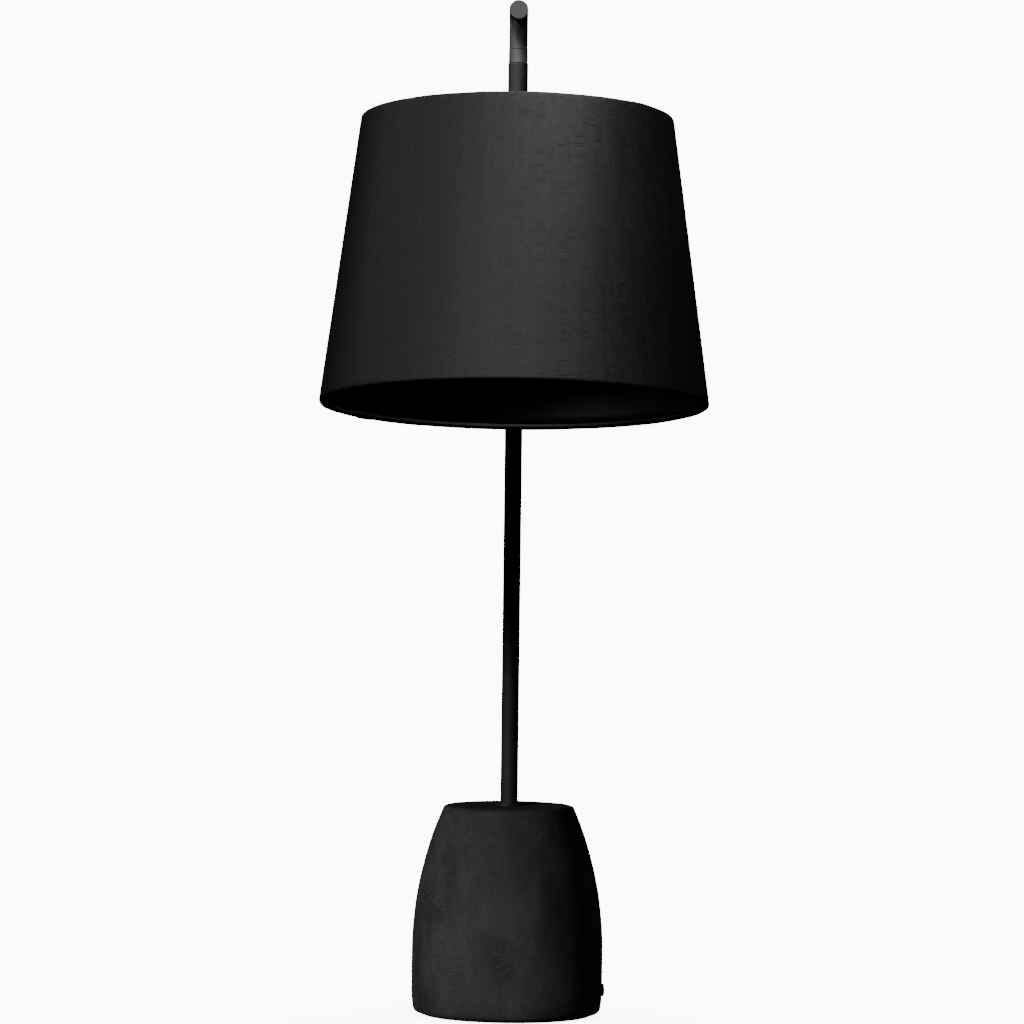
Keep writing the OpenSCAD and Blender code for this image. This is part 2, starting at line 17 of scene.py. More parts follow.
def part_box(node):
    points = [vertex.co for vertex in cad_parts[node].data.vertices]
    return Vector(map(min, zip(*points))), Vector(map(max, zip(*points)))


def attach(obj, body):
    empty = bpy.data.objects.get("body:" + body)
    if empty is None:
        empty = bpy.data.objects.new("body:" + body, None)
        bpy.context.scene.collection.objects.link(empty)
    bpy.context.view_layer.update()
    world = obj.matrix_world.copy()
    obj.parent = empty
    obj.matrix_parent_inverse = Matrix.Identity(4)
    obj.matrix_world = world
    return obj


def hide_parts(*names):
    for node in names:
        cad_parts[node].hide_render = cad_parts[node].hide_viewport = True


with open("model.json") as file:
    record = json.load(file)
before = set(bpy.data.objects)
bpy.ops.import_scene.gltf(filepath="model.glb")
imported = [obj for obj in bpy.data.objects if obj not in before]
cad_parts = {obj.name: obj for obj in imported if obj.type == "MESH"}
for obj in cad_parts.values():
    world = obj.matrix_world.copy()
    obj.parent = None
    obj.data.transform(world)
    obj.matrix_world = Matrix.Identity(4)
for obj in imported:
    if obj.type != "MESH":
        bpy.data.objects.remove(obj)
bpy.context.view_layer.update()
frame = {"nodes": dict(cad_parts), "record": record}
random.seed(7)

MM = 0.001
FULL_TURN = 2 * math.pi


def put(name, data):
    """A new object in the scene."""
    thing = bpy.data.objects.new(name, data)
    bpy.context.scene.collection.objects.link(thing)
    return thing


# ---------------------------------------------------------------- camera

EYE_DISTANCE = 4.8      # in front of the pole's axis
EYE_HEIGHT = 0.53
EYE_SIDE = -0.0005      # to the right
LENS = 211.0            # on Blender's 36 mm sensor
PITCH = -1.52           # degrees, below the horizon
ROLL = 0.72             # degrees, so that the lamp's top leans to the right
FARTHEST_SEEN = 50


def make_camera():
    data = bpy.data.cameras.new("camera")
    data.lens = LENS
    data.clip_end = FARTHEST_SEEN
    camera = put("camera", data)
    place = Matrix.Translation((EYE_SIDE, -EYE_DISTANCE, EYE_HEIGHT))
    pitch = Matrix.Rotation(math.radians(90 + PITCH), 4, "X")
    camera.matrix_world = place @ pitch @ Matrix.Rotation(math.radians(ROLL), 4, "Z")
    bpy.context.scene.camera = camera


# ---------------------------------------------------------------- node helpers


class Nodes:
    """Short spelling for building one material's node tree."""

    def __init__(self, name):
        self.material = bpy.data.materials.new(name)
        self.material.use_nodes = True
        self.tree = self.material.node_tree
        self.shader = self.tree.nodes["Principled BSDF"]

    def add(self, kind, inputs=None, **settings):
        node = self.tree.nodes.new(kind)
        for key, value in settings.items():
            setattr(node, key, value)
        for key, value in (inputs or {}).items():
            self.feed(node.inputs[key], value)
        return node

    def feed(self, socket, value):
        if isinstance(value, bpy.types.NodeSocket):
            self.tree.links.new(value, socket)
        else:
            socket.default_value = value

    def coordinates(self, kind):
        return self.add("ShaderNodeTexCoord").outputs[kind]

    def stretched(self, vector, scale, turn=(0, 0, 0)):
        return self.add("ShaderNodeMapping", {
            "Vector": vector, "Scale": scale, "Rotation": turn,
        }).outputs[0]

    def noise(self, vector, scale, detail=4.0, rough=0.5, distortion=0.0):
        return self.add("ShaderNodeTexNoise", {
            "Vector": vector, "Scale": scale, "Detail": detail,
            "Roughness": rough, "Distortion": distortion,
        }).outputs["Fac"]

    def dashes(self, vector, cells_per_metre, share):
        """Short straight threads scattered over the cloth, each in one cell of a pattern."""
        cells = self.add("ShaderNodeTexVoronoi", {
            "Vector": self.stretched(vector, cells_per_metre), "Scale": 1.0, "Randomness": 1.0,
        }, voronoi_dimensions="2D")
        draw = self.add("ShaderNodeSeparateColor", {"Color": cells.outputs["Color"]}).outputs["Red"]
        return self.math("MULTIPLY", self.span(cells.outputs["Distance"], 0.10, 0.42, 1.0, 0.0),
                         self.math("LESS_THAN", draw, share))

    def math(self, operation, a, b=0.0, clamp=False):
        node = self.add("ShaderNodeMath", operation=operation, use_clamp=clamp)
        self.feed(node.inputs[0], a)
        self.feed(node.inputs[1], b)
        return node.outputs[0]

    def span(self, value, low, high, to_low=0.0, to_high=1.0):
        """The value, taken smoothly from one range to another and held at its ends."""
        node = self.add("ShaderNodeMapRange", {
            "Value": value, "From Min": low, "From Max": high, "To Min": to_low, "To Max": to_high,
        }, interpolation_type="SMOOTHSTEP")
        return node.outputs[0]

    def blend(self, factor, a, b):
        """A mix of two colours. The node's colour sockets come after those for other data."""
        node = self.add("ShaderNodeMix", data_type="RGBA")
        self.feed(node.inputs[0], factor)
        self.feed(node.inputs[6], a)
        self.feed(node.inputs[7], b)
        return node.outputs[2]

    def bump(self, height, distance, strength=1.0, below=None):
        inputs = {"Height": height, "Distance": distance, "Strength": strength}
        if below is not None:
            inputs["Normal"] = below
        return self.add("ShaderNodeBump", inputs).outputs[0]

    def finish(self, **sockets):
        for key, value in sockets.items():
            self.feed(self.shader.inputs[key.replace("_", " ")], value)
        return self.material


def grey(value, warm=0.0):
    return (value * (1 + warm), value, value * (1 - warm), 1.0)


# ---------------------------------------------------------------- materials

# How much light each surface gives back, at the ends of its own variation.
CLOTH_DARK = 0.0045
CLOTH_LIGHT = 0.0085
LINING_DARK = 0.006
LINING_LIGHT = 0.010
CONCRETE_DARK = 0.0095
CONCRETE_LIGHT = 0.036
CONCRETE_SCUFF = 0.065
CONCRETE_GRAIN = 0.085
# the colour painted into the pores, as their shade
CONCRETE_PORE_SHADE = 0.004
PAINT = 0.012
PLASTIC = 0.016
SHEATH = 0.014
FELT_DARK = 0.006
FELT_LIGHT = 0.026
CERAMIC_DARK = 0.62
CERAMIC_LIGHT = 0.74
OPAL_DARK = 0.80
OPAL_LIGHT = 0.86
ZINC = (0.56, 0.57, 0.60, 1.0)
BRASS = (0.72, 0.50, 0.20, 1.0)

# Depths of the relief that is too fine for the meshes.
WEAVE_DEPTH = 0.09 * MM
SLUB_DEPTH = 0.26 * MM
CLOTH_STREAK_DEPTH = 0.12 * MM
LINING_GRAIN_DEPTH = 0.04 * MM
LINING_WAVE_DEPTH = 0.8 * MM
CONCRETE_SKIN_DEPTH = 0.15 * MM
CONCRETE_WAVE_DEPTH = 0.9 * MM
PAINT_PEEL_DEPTH = 0.06 * MM
PLASTIC_GRAIN_DEPTH = 0.05 * MM
TURNING_MARK_DEPTH = 0.03 * MM
FELT_PILE_DEPTH = 0.4 * MM
CERAMIC_SPECK_DEPTH = 0.08 * MM

# Each is ten radians of its wave, so that the threads lie 0.26 and 0.19 mm apart.
WEFT_SPAN = 0.42 * MM
WARP_SPAN = 0.30 * MM


def cloth_material():
    """Black slubbed silk. Its coordinates are the cloth's own, in metres: round it and up it."""
    n = Nodes("black_slub_cloth")
    uv = n.coordinates("UV")
    weft = n.add("ShaderNodeTexWave", {
        "Vector": n.stretched(uv, (26, 1 / WEFT_SPAN, 1)), "Scale": 0.5,
        "Distortion": 2.4, "Detail": 2.0, "Detail Scale": 1.6,
    }, bands_direction="Y").outputs["Fac"]
    warp = n.add("ShaderNodeTexWave", {
        "Vector": n.stretched(uv, (1 / WARP_SPAN, 14, 1)), "Scale": 0.5,
        "Distortion": 1.6, "Detail": 1.0, "Detail Scale": 1.2,
    }, bands_direction="X").outputs["Fac"]
    # One part of the bolt has more slubs and broken streaks than the rest, and so more of the
    # slubs' painted sheen.
    across = n.add("ShaderNodeSeparateXYZ", {"Vector": uv}).outputs["X"]
    slubby = n.math("MULTIPLY", n.span(across, 0.27, 0.35, 0.15, 1.0),
                    n.span(across, 0.52, 0.60, 1.0, 0.35))
    patch = n.span(n.noise(n.stretched(uv, (22, 30, 1)), 1.0, 3.0, 0.6), 0.34, 0.52, 0.45, 1.0)
    slub_and_sheen = n.math("MAXIMUM", n.dashes(uv, (62, 560, 1), 0.13), n.dashes(uv, (130, 640, 1), 0.15))
    slub_and_sheen = n.math("MULTIPLY", slub_and_sheen, n.math("MULTIPLY", slubby, patch))
    streak = n.noise(n.stretched(uv, (240, 5, 1)), 1.0, 5.0, 0.65)
    broken = n.noise(n.stretched(uv, (260, 30, 1)), 1.0, 4.0, 0.6)
    broken = n.math("MULTIPLY", n.span(broken, 0.42, 0.66), slubby)
    cloud = n.noise(n.stretched(uv, (11, 7, 1)), 1.0, 4.0, 0.55)
    fray = n.span(n.noise(n.stretched(uv, (900, 700, 1)), 1.0, 2.0, 0.6), 0.66, 0.80)
    tone = n.math("ADD", n.span(streak, 0.30, 0.70, 0.0, 0.42),
                  n.span(cloud, 0.30, 0.70, 0.0, 0.33))
    # The slubs are raised and also painted lighter: a painted sheen on the thicker threads.
    tone = n.math("ADD", tone, n.math("MULTIPLY", slub_and_sheen, 0.70), clamp=True)
    colour = n.blend(tone, grey(CLOTH_DARK), grey(CLOTH_LIGHT, 0.01))
    height = n.math("ADD", n.math("MULTIPLY", weft, 0.42), n.math("MULTIPLY", warp, 0.22))
    height = n.math("ADD", height, n.math("MULTIPLY", fray, 0.5))
    fine = n.bump(height, WEAVE_DEPTH, 0.55)
    thread = n.bump(slub_and_sheen, SLUB_DEPTH, 1.0, fine)
    folds = n.math("ADD", n.math("MULTIPLY", streak, 0.6), n.math("MULTIPLY", broken, 1.2))
    coarse = n.bump(folds, CLOTH_STREAK_DEPTH, 0.75, thread)
    rough = n.span(n.math("ADD", n.math("MULTIPLY", streak, 0.6), n.math("MULTIPLY", cloud, 0.4)),
                   0.3, 0.7, 0.46, 0.56)
    return n.finish(Base_Color=colour, Roughness=rough, Normal=coarse, Specular_IOR_Level=0.5)


def lining_material():
    """Black laminated film, satin, with the faint grain of the cloth behind it."""
    n = Nodes("black_lining")
    uv = n.coordinates("UV")
    grain = n.noise(n.stretched(uv, (900, 1300, 1)), 1.0, 2.0, 0.6)
    wave = n.noise(n.stretched(uv, (14, 9, 1)), 1.0, 3.0, 0.5)
    normal = n.bump(grain, LINING_GRAIN_DEPTH, 0.5, n.bump(wave, LINING_WAVE_DEPTH, 0.35))
    colour = n.blend(wave, grey(LINING_DARK), grey(LINING_LIGHT))
    return n.finish(Base_Color=colour, Roughness=n.span(wave, 0.3, 0.7, 0.50, 0.62),
                    Normal=normal, Specular_IOR_Level=0.35)


def concrete_material():
    """Concrete tinted black: cloudy, smooth, with a few pores painted dark as shade, pale grains
    and pale scuffs.
    """
    n = Nodes("black_concrete")
    at = n.coordinates("Object")
    cloud = n.noise(n.stretched(at, (1, 1, 0.75)), 24.0, 5.0, 0.60, 0.5)
    smoke = n.noise(n.stretched(at, (1, 1, 0.5)), 75.0, 5.0, 0.62, 0.4)
    stain = n.noise(n.stretched(at, (1, 1, 0.8)), 9.0, 3.0, 0.55, 0.4)
    sand = n.noise(at, 1500.0, 3.0, 0.65)
    grit = n.noise(at, 420.0, 3.0, 0.6)
    pore = n.add("ShaderNodeTexVoronoi", {"Vector": at, "Scale": 330.0, "Randomness": 1.0})
    in_pore = n.math("MULTIPLY", n.span(pore.outputs["Distance"], 0.10, 0.26, 1.0, 0.0),
                     n.span(n.noise(at, 90.0, 2.0, 0.5), 0.58, 0.66))
    grain_at = n.add("ShaderNodeTexVoronoi", {"Vector": at, "Scale": 210.0, "Randomness": 1.0})
    pale = n.math("MULTIPLY", n.span(grain_at.outputs["Distance"], 0.07, 0.20, 1.0, 0.0),
                  n.span(n.noise(at, 70.0, 2.0, 0.5), 0.60, 0.68))
    scratch = n.noise(n.stretched(at, (210, 210, 700), (0.5, 0.2, 0)), 1.0, 3.0, 0.6)
    scuff = n.math("MULTIPLY", n.span(scratch, 0.54, 0.66),
                   n.span(n.noise(at, 26.0, 3.0, 0.6), 0.46, 0.58))
    tone = n.math("ADD", n.span(cloud, 0.32, 0.68, 0.0, 0.50), n.span(smoke, 0.32, 0.68, 0.0, 0.24))
    tone = n.math("ADD", tone, n.span(stain, 0.38, 0.62, -0.06, 0.26), clamp=True)
    colour = n.blend(tone, grey(CONCRETE_DARK), grey(CONCRETE_LIGHT, 0.02))
    colour = n.blend(n.math("MULTIPLY", scuff, 0.38), colour, grey(CONCRETE_SCUFF, 0.02))
    colour = n.blend(n.math("MULTIPLY", pale, 0.60), colour, grey(CONCRETE_GRAIN, 0.03))
    # The pores are painted dark: painted shade in the pits, on top of their bump.
    colour = n.blend(n.math("MULTIPLY", in_pore, 0.8), colour, grey(CONCRETE_PORE_SHADE))
    height = n.math("ADD", n.math("MULTIPLY", sand, 0.20), n.math("MULTIPLY", grit, 0.18))
    height = n.math("SUBTRACT", height, n.math("MULTIPLY", in_pore, 1.3))
    normal = n.bump(height, CONCRETE_SKIN_DEPTH, 0.55, n.bump(smoke, CONCRETE_WAVE_DEPTH, 0.4))
    rough = n.span(n.math("ADD", n.math("MULTIPLY", cloud, 0.5), n.math("MULTIPLY", grit, 0.5)),
                   0.32, 0.68, 0.72, 0.86)
    return n.finish(Base_Color=colour, Roughness=rough, Normal=normal, Specular_IOR_Level=0.35)


def paint_material():
    """Fine matte powder coat: a tight orange peel with a few dust nibs."""
    n = Nodes("black_powder_coat")
    at = n.coordinates("Object")
    peel = n.noise(at, 1900.0, 3.0, 0.55)
    swell = n.noise(at, 420.0, 2.0, 0.5)
    nib = n.span(n.noise(at, 900.0, 1.0, 0.5), 0.74, 0.80)
    wear = n.noise(n.stretched(at, (1, 1, 0.4)), 45.0, 4.0, 0.6)
    height = n.math("ADD", n.math("MULTIPLY", peel, 0.6), n.math("MULTIPLY", swell, 0.5))
    height = n.math("ADD", height, n.math("MULTIPLY", nib, 0.5))
    colour = n.blend(n.span(wear, 0.3, 0.7), grey(PAINT * 0.85), grey(PAINT * 1.2, 0.01))
    return n.finish(Base_Color=colour, Roughness=n.span(wear, 0.3, 0.7, 0.50, 0.60),
                    Normal=n.bump(height, PAINT_PEEL_DEPTH, 0.7), Specular_IOR_Level=0.5)


def plastic_material(name, tone, rough, grain=700.0):
    """Moulded plastic or rubber with a fine spark-eroded grain."""
    n = Nodes(name)
    at = n.coordinates("Object")
    fine = n.noise(at, grain, 3.0, 0.6)
    broad = n.noise(at, 60.0, 3.0, 0.5)
    colour = n.blend(broad, grey(tone * 0.8), grey(tone * 1.2))
    return n.finish(Base_Color=colour,
                    Roughness=n.span(broad, 0.3, 0.7, rough - 0.06, rough + 0.06),
                    Normal=n.bump(fine, PLASTIC_GRAIN_DEPTH, 0.6))


def metal_material(name, colour, rough, scratch=0.5):
    """Plain plated or drawn metal with fine turning marks and a patchy bloom."""
    n = Nodes(name)
    at = n.coordinates("Object")
    marks = n.noise(n.stretched(at, (60, 60, 2600)), 1.0, 2.0, 0.6)
    bloom = n.noise(at, 130.0, 4.0, 0.6)
    dull = tuple(c * 0.72 for c in colour[:3]) + (1.0,)
    return n.finish(Base_Color=n.blend(n.span(bloom, 0.3, 0.75), colour, dull), Metallic=1.0,
                    Roughness=n.span(bloom, 0.3, 0.7, rough - 0.08, rough + 0.10),
                    Normal=n.bump(marks, TURNING_MARK_DEPTH, scratch))


def felt_material():
    n = Nodes("black_felt")
    at = n.coordinates("Object")
    fibre = n.noise(at, 1400.0, 6.0, 0.75, 1.5)
    tuft = n.noise(at, 220.0, 4.0, 0.6)
    colour = n.blend(n.span(fibre, 0.35, 0.70), grey(FELT_DARK), grey(FELT_LIGHT))
    height = n.math("ADD", fibre, n.math("MULTIPLY", tuft, 0.7))
    return n.finish(Base_Color=colour, Roughness=0.95,
                    Normal=n.bump(height, FELT_PILE_DEPTH, 0.8), Sheen_Weight=0.25)


def ceramic_material():
    n = Nodes("white_ceramic")
    at = n.coordinates("Object")
    speck = n.noise(at, 600.0, 3.0, 0.6)
    colour = n.blend(n.span(speck, 0.4, 0.7), grey(CERAMIC_LIGHT, 0.02), grey(CERAMIC_DARK, 0.04))
    return n.finish(Base_Color=colour, Roughness=0.42,
                    Normal=n.bump(speck, CERAMIC_SPECK_DEPTH, 0.4))


def opal_material():
    """Opal bulb: a milky diffuser under a smooth skin."""
    n = Nodes("opal_glass")
    at = n.coordinates("Object")
    milk = n.noise(at, 40.0, 2.0, 0.4)
    colour = n.blend(milk, grey(OPAL_DARK, 0.01), grey(OPAL_LIGHT, 0.02))
    return n.finish(Base_Color=colour, Roughness=0.22, Specular_IOR_Level=0.5,
                    Subsurface_Weight=0.35, Subsurface_Radius=(0.004, 0.004, 0.0035),
                    Coat_Weight=0.3, Coat_Roughness=0.12)


def make_materials():
    return {
        "black_fabric": cloth_material(),
        "black_lining": lining_material(),
        "black_concrete": concrete_material(),
        "black_paint": paint_material(),
        "black_plastic": plastic_material("black_plastic", PLASTIC, 0.46),
        "cable_sheath": plastic_material("cable_sheath", SHEATH, 0.62, 1100.0),
        "zinc_steel": metal_material("zinc_steel", ZINC, 0.36),
        "brass": metal_material("brass", BRASS, 0.30),
        "felt_pad": felt_material(),
        "white_ceramic": ceramic_material(),
        "opal_glass": opal_material(),
    }


# ---------------------------------------------------------------- mesh helpers


def new_piece(name, points, faces, material, body, uvs=None, nodes=(), place=None):
    """A smooth mesh from points and faces, riding on a body and replacing CAD nodes."""
    mesh = bpy.data.meshes.new(name)
    mesh.from_pydata([tuple(p) for p in points], [], faces)
    if uvs is not None:
        layer = mesh.uv_layers.new(name="cloth")
        index = np.zeros(len(mesh.loops), np.int32)
        mesh.loops.foreach_get("vertex_index", index)
        layer.data.foreach_set("uv", np.asarray(uvs, np.float32)[index].ravel())
    mesh.polygons.foreach_set("use_smooth", [True] * len(mesh.polygons))
    mesh.validate()
    mesh.update()
    piece = put(name, mesh)
    if place is not None:
        piece.matrix_world = place
    mesh.materials.append(material)
    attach(piece, body)
    if nodes:
        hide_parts(*nodes)
    return piece


def grid_faces(rows, columns, round_rows=False, round_columns=False, flip=False):
    """Quads over a grid of points stored row by row."""
    faces = []
    for i in range(rows if round_rows else rows - 1):
        for j in range(columns if round_columns else columns - 1):
            a, b = i * columns + j, i * columns + (j + 1) % columns
            c, d = ((i + 1) % rows) * columns + (j + 1) % columns, ((i + 1) % rows) * columns + j
            faces.append((a, d, c, b) if flip else (a, b, c, d))
    return faces


def resample(points, step):
    """A polyline again, its points about one step apart on a Catmull-Rom curve through them."""
    p = np.asarray(points, float)
    out = []
    for i in range(len(p) - 1):
        a, b = p[max(i - 1, 0)], p[i]
        c, d = p[i + 1], p[min(i + 2, len(p) - 1)]
        count = max(1, round(float(np.linalg.norm(c - b)) / step))
        for t in np.arange(count) / count:
            out.append(0.5 * (2 * b + (c - a) * t + (2 * a - 5 * b + 4 * c - d) * t ** 2
                              + (3 * b - a - 3 * c + d) * t ** 3))
    out.append(p[-1])
    return np.array(out)


def half_width(node):
    low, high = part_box(node)
    return (high.x - low.x) / 2


def middle(node):
    low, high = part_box(node)
    return (low + high) / 2


# ---------------------------------------------------------------- shade

CLOTH_T = 0.5 * MM
WIRE_R = 1.5 * MM
BEAD_R = WIRE_R + CLOTH_T
LINING_T = 0.5 * MM
LAYER_GAP = 0.03 * MM
STRIP_H = 10 * MM       # the hem's glued strip, between the cloth and the lining
STRIP_STEPS = 6
TUCK = 105              # degrees round an edge wire from straight out to where the cloth leaves it
FOLD_GAP = 1 * MM       # from the bead to the straight part of the strip
OVERLAP = 12 * MM       # the cloth's lap at its seam
LAP_RISE = 5 * MM       # how far before the lap the cloth lifts off
LINING_LAP = 0.1 * MM   # the lining's ends just meet
SEAM_TURN = math.radians(140)   # from +X, so behind and to the left
LINING_SEAM_TURN = math.radians(128)

ARC_STEPS = 12
LAP_STEPS = 25
CLOTH_ROUND = 470
CONE_STEPS = 74


class Cone:
    """The shade's own frame and outline, read from its two edge wires."""

    def __init__(self):
        top, low = middle("shade_top_wire"), middle("shade_bottom_wire")
        up = (top - low).normalized()
        side = Vector((1, 0, 0))
        axes = Matrix((side, up.cross(side), up)).transposed()
        self.place = Matrix.Translation(low) @ axes.to_4x4()
        self.height = (top - low).length          # between the wires' planes
        self.low_r = half_width("shade_bottom_wire") - WIRE_R
        self.top_r = half_width("shade_top_wire") - WIRE_R
        self.slant = math.atan2(self.low_r - self.top_r, self.height)

    def out(self, z):
        """Radius of the shade's outside at a height above the bottom wire."""
        return self.low_r + BEAD_R + (self.top_r - self.low_r) * z / self.height


def bead_arc(radius, z, size, start, end):
    """Points round an edge wire, from one angle to another, in degrees."""
    turn = np.radians(np.linspace(start, end, ARC_STEPS + 1))
    return np.stack([radius + size * np.cos(turn), z + size * np.sin(turn)], 1)


def cloth_path(cone):
    """The cloth's middle line in (radius, height): up the inner strip, over the top wire,
    down the outside, under the bottom wire and up the other strip."""
    mid = WIRE_R + CLOTH_T / 2
    tip = math.degrees(cone.slant)
    inset = CLOTH_T + CLOTH_T / 2 + LAYER_GAP / 2
    top_z = cone.height
    top_strip = [(cone.out(z) - inset, z)
                 for z in np.linspace(top_z - BEAD_R - STRIP_H, top_z - BEAD_R - FOLD_GAP,
                                      STRIP_STEPS + 1)]
    low_strip = [(cone.out(z) - inset, z)
                 for z in np.linspace(BEAD_R + FOLD_GAP, BEAD_R + STRIP_H, STRIP_STEPS + 1)]
    over = bead_arc(cone.top_r, top_z, mid, -TUCK, tip - 360)
    under = bead_arc(cone.low_r, 0, mid, tip, TUCK - 360)
    wall = [over[-1] + (under[0] - over[-1]) * t for t in np.linspace(0, 1, CONE_STEPS + 1)[1:-1]]
    return np.array([*top_strip, *over, *wall, *under, *low_strip])


def path_normals(path):
    """Unit normals to the left of the way the path runs: outwards on the shade's outside."""
    run = np.gradient(path, axis=0)
    normals = np.stack([-run[:, 1], run[:, 0]], 1)
    return normals / np.linalg.norm(normals, axis=1)[:, None]


PANEL_TURN = math.radians(-38)      # from +X, so in front and to the right
PANEL_RISE = 0.45 * MM
PANEL_REACH = 0.07
CREASES_TURN = math.radians(-48)
CREASES_REACH = 0.16
# Creases all the way round: how many, their size in millimetres, how they lean, and their phase.
CREASES = ((9, 0.05, 1.5, 0.4), (17, 0.05, -2.0, 2.1), (31, 0.035, 3.0, 4.0))


def ripple(turn, height):
    """How far the cloth stands off its cone: long soft creases that come and go up the shade,
    and a slight ridge where the cloth turns from one flatter panel to the next."""
    sway = 0.0
    for waves, size, lean, phase in CREASES:
        sway += size * np.sin(waves * turn + lean * height + phase)
    near = np.exp(-((turn - CREASES_TURN) / CREASES_REACH) ** 2)
    comes = 0.5 + 0.5 * np.sin(8 * height + 17 * turn)
    sway += 0.07 * near * comes * np.sin(56 * turn + 1.8 * np.sin(5 * height))
    ridge = np.exp(-np.abs(turn - PANEL_TURN - 0.02 * np.sin(6 * height)) / PANEL_REACH)
    return sway * MM + PANEL_RISE * ridge


def wrapped_sheet(path, thickness, round_steps, seam, lap, rise, wave):
    """A sheet that goes once round and laps over its own start: its points, faces and cloth
    coordinates, the length of its path, and the angle it covers."""
    normals = path_normals(path)
    along = np.concatenate([[0], np.cumsum(np.linalg.norm(np.diff(path, axis=0), axis=1))])
    mean_r = path[:, 0].mean()
    total = FULL_TURN + lap / mean_r
    ramp = rise / mean_r
    turns = np.linspace(0, total, round_steps + 1)
    extra = np.linspace(FULL_TURN - ramp, total, LAP_STEPS + 1)
    turns = np.unique(np.concatenate([turns[turns < extra[0]], extra]))
    lift = np.clip((turns - (FULL_TURN - ramp)) / ramp, 0, 1)
    lift = lift * lift * (3 - 2 * lift) * (thickness + LAYER_GAP)
    columns = len(path)
    layers, uvs = [], []
    height = path[:, 1] / max(path[:, 1].max(), 1e-9)
    for side in (0.5, -0.5):
        for turn, up in zip(turns, lift):
            angle = seam + turn
            bearing = math.remainder(angle, FULL_TURN)
            stand = side * thickness + up + wave(bearing, height)
            line = path + normals * stand[:, None]
            layers.append(np.stack([line[:, 0] * math.cos(angle), line[:, 0] * math.sin(angle),
                                    line[:, 1]], 1))
            uvs.append(np.stack([np.full(columns, turn * mean_r), along], 1))
    points, uvs = np.concatenate(layers), np.concatenate(uvs)
    rows = len(turns)
    faces = grid_faces(rows, columns, flip=True)
    back = rows * columns
    faces += [tuple(back + i for i in face[::-1]) for face in faces]
    for j in range(columns - 1):                       # the two cut ends
        faces.append((j, j + 1, back + j + 1, back + j))
        end = (rows - 1) * columns
        faces.append((end + j + 1, end + j, back + end + j, back + end + j + 1))
    for i in range(rows - 1):                          # the two long edges
        a, b = i * columns, (i + 1) * columns
        faces.append((b, a, back + a, back + b))
        a, b = a + columns - 1, b + columns - 1
        faces.append((a, b, back + b, back + a))
    return points, faces, uvs, along[-1], total


def make_cloth(cone, materials):
    """The fabric and both its hems, as one sheet over the top wire and under the bottom wire."""
    points, faces, uvs, length, total = wrapped_sheet(
        cloth_path(cone), CLOTH_T, CLOTH_ROUND, SEAM_TURN, OVERLAP, LAP_RISE, ripple)
    cloth = new_piece("shade_cloth", points, faces, materials["black_fabric"],
                      "shade", uvs, ("shade_fabric", "shade_top_hem", "shade_bottom_hem"),
                      cone.place)
    # The cut is a ring sector: its outer and inner radii, and its area.
    slope = math.sin(cone.slant)
    outer, inner = cone.out(0) / slope, cone.out(cone.height) / slope
    area = total * (cone.out(0) + cone.out(cone.height)) / 2 * length


def make_lining(cone, materials):
    """The film inside the cloth, over the hem's strip."""
    inset = 2 * CLOTH_T + LINING_T / 2 + LAYER_GAP
    edge = BEAD_R + 1.1 * FOLD_GAP      # just past the fold
    heights = np.linspace(cone.height - edge, edge, CONE_STEPS // 2)
    path = np.array([(cone.out(z) - inset, z) for z in heights])
    points, faces, uvs, _, _ = wrapped_sheet(
        path, LINING_T - LAYER_GAP, CLOTH_ROUND // 2, LINING_SEAM_TURN, LINING_LAP, LINING_LAP,
        lambda turn, height: 0 * height)
    new_piece("shade_lining_film", points, faces, materials["black_lining"],
              "shade", uvs, ("shade_lining",), cone.place)


# ---------------------------------------------------------------- base

BASE_STEP = 0.85 * MM
BASE_ROUND = 560
TOP_STEPS = 59          # from the rim of the top face to the bore
BORE_STEPS = 7
RECESS_REACH = 60 * MM  # the base plate's recess lies within this radius
SAME_HEIGHT = 0.05 * MM
PIT_COUNT = 120
PIT_SMALLEST = 0.55 * MM
PIT_LARGEST = 2.3 * MM
SWELL = 0.16 * MM       # how far the cast skin wanders
SWELL_BROAD = 34        # waves of the swell, per metre
SWELL_FINE = 95
FADE_STEPS = 8          # the skin runs true again over this many steps at its ends


def convex_outline(points):
    """The outer side of a set of (radius, height) points, from the foot to the top."""
    ordered = sorted(set(map(tuple, np.round(points, 5))), key=lambda p: (p[1], p[0]))
    hull = []
    for p in ordered:
        while len(hull) > 1:
            (ax, ay), (bx, by) = hull[-2], hull[-1]
            if (bx - ax) * (p[1] - ay) - (by - ay) * (p[0] - ax) > 0:
                break
            hull.pop()
        hull.append(p)
    return hull


def base_outline():
    """The base's closed outline, from the foot up to the top, then down the bore and the pocket,
    and how many of its points are on the side that shows."""
    body = frame["nodes"]["base_body"].data
    corners = np.array([vertex.co for vertex in body.vertices], float)
    radius, height = np.hypot(corners[:, 0], corners[:, 1]), corners[:, 2]
    skin = convex_outline(np.stack([radius, height], 1))
    foot_z, top_z = skin[0][1], skin[-1][1]
    bore = float(radius.min())
    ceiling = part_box("pole_washer")[1].z
    pocket = float(radius[np.abs(height - ceiling) < SAME_HEIGHT].max())
    recess_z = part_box("base_plate")[1].z
    in_recess = (np.abs(height - recess_z) < SAME_HEIGHT) & (radius < RECESS_REACH)
    recess = float(radius[in_recess].max())
    outside = [p for p in skin if p[0] > pocket]
    outer = resample(outside, BASE_STEP)
    top_in = np.linspace(outer[-1][0], bore, TOP_STEPS + 1)[1:]
    inner = [(r, top_z) for r in top_in]
    inner += [(bore, z) for z in np.linspace(top_z, ceiling, BORE_STEPS + 1)[1:]]
    inner += [(pocket, ceiling), (pocket, recess_z), (recess, recess_z), (recess, foot_z)]
    return np.array([*outer, *inner]), len(outer) + len(top_in)


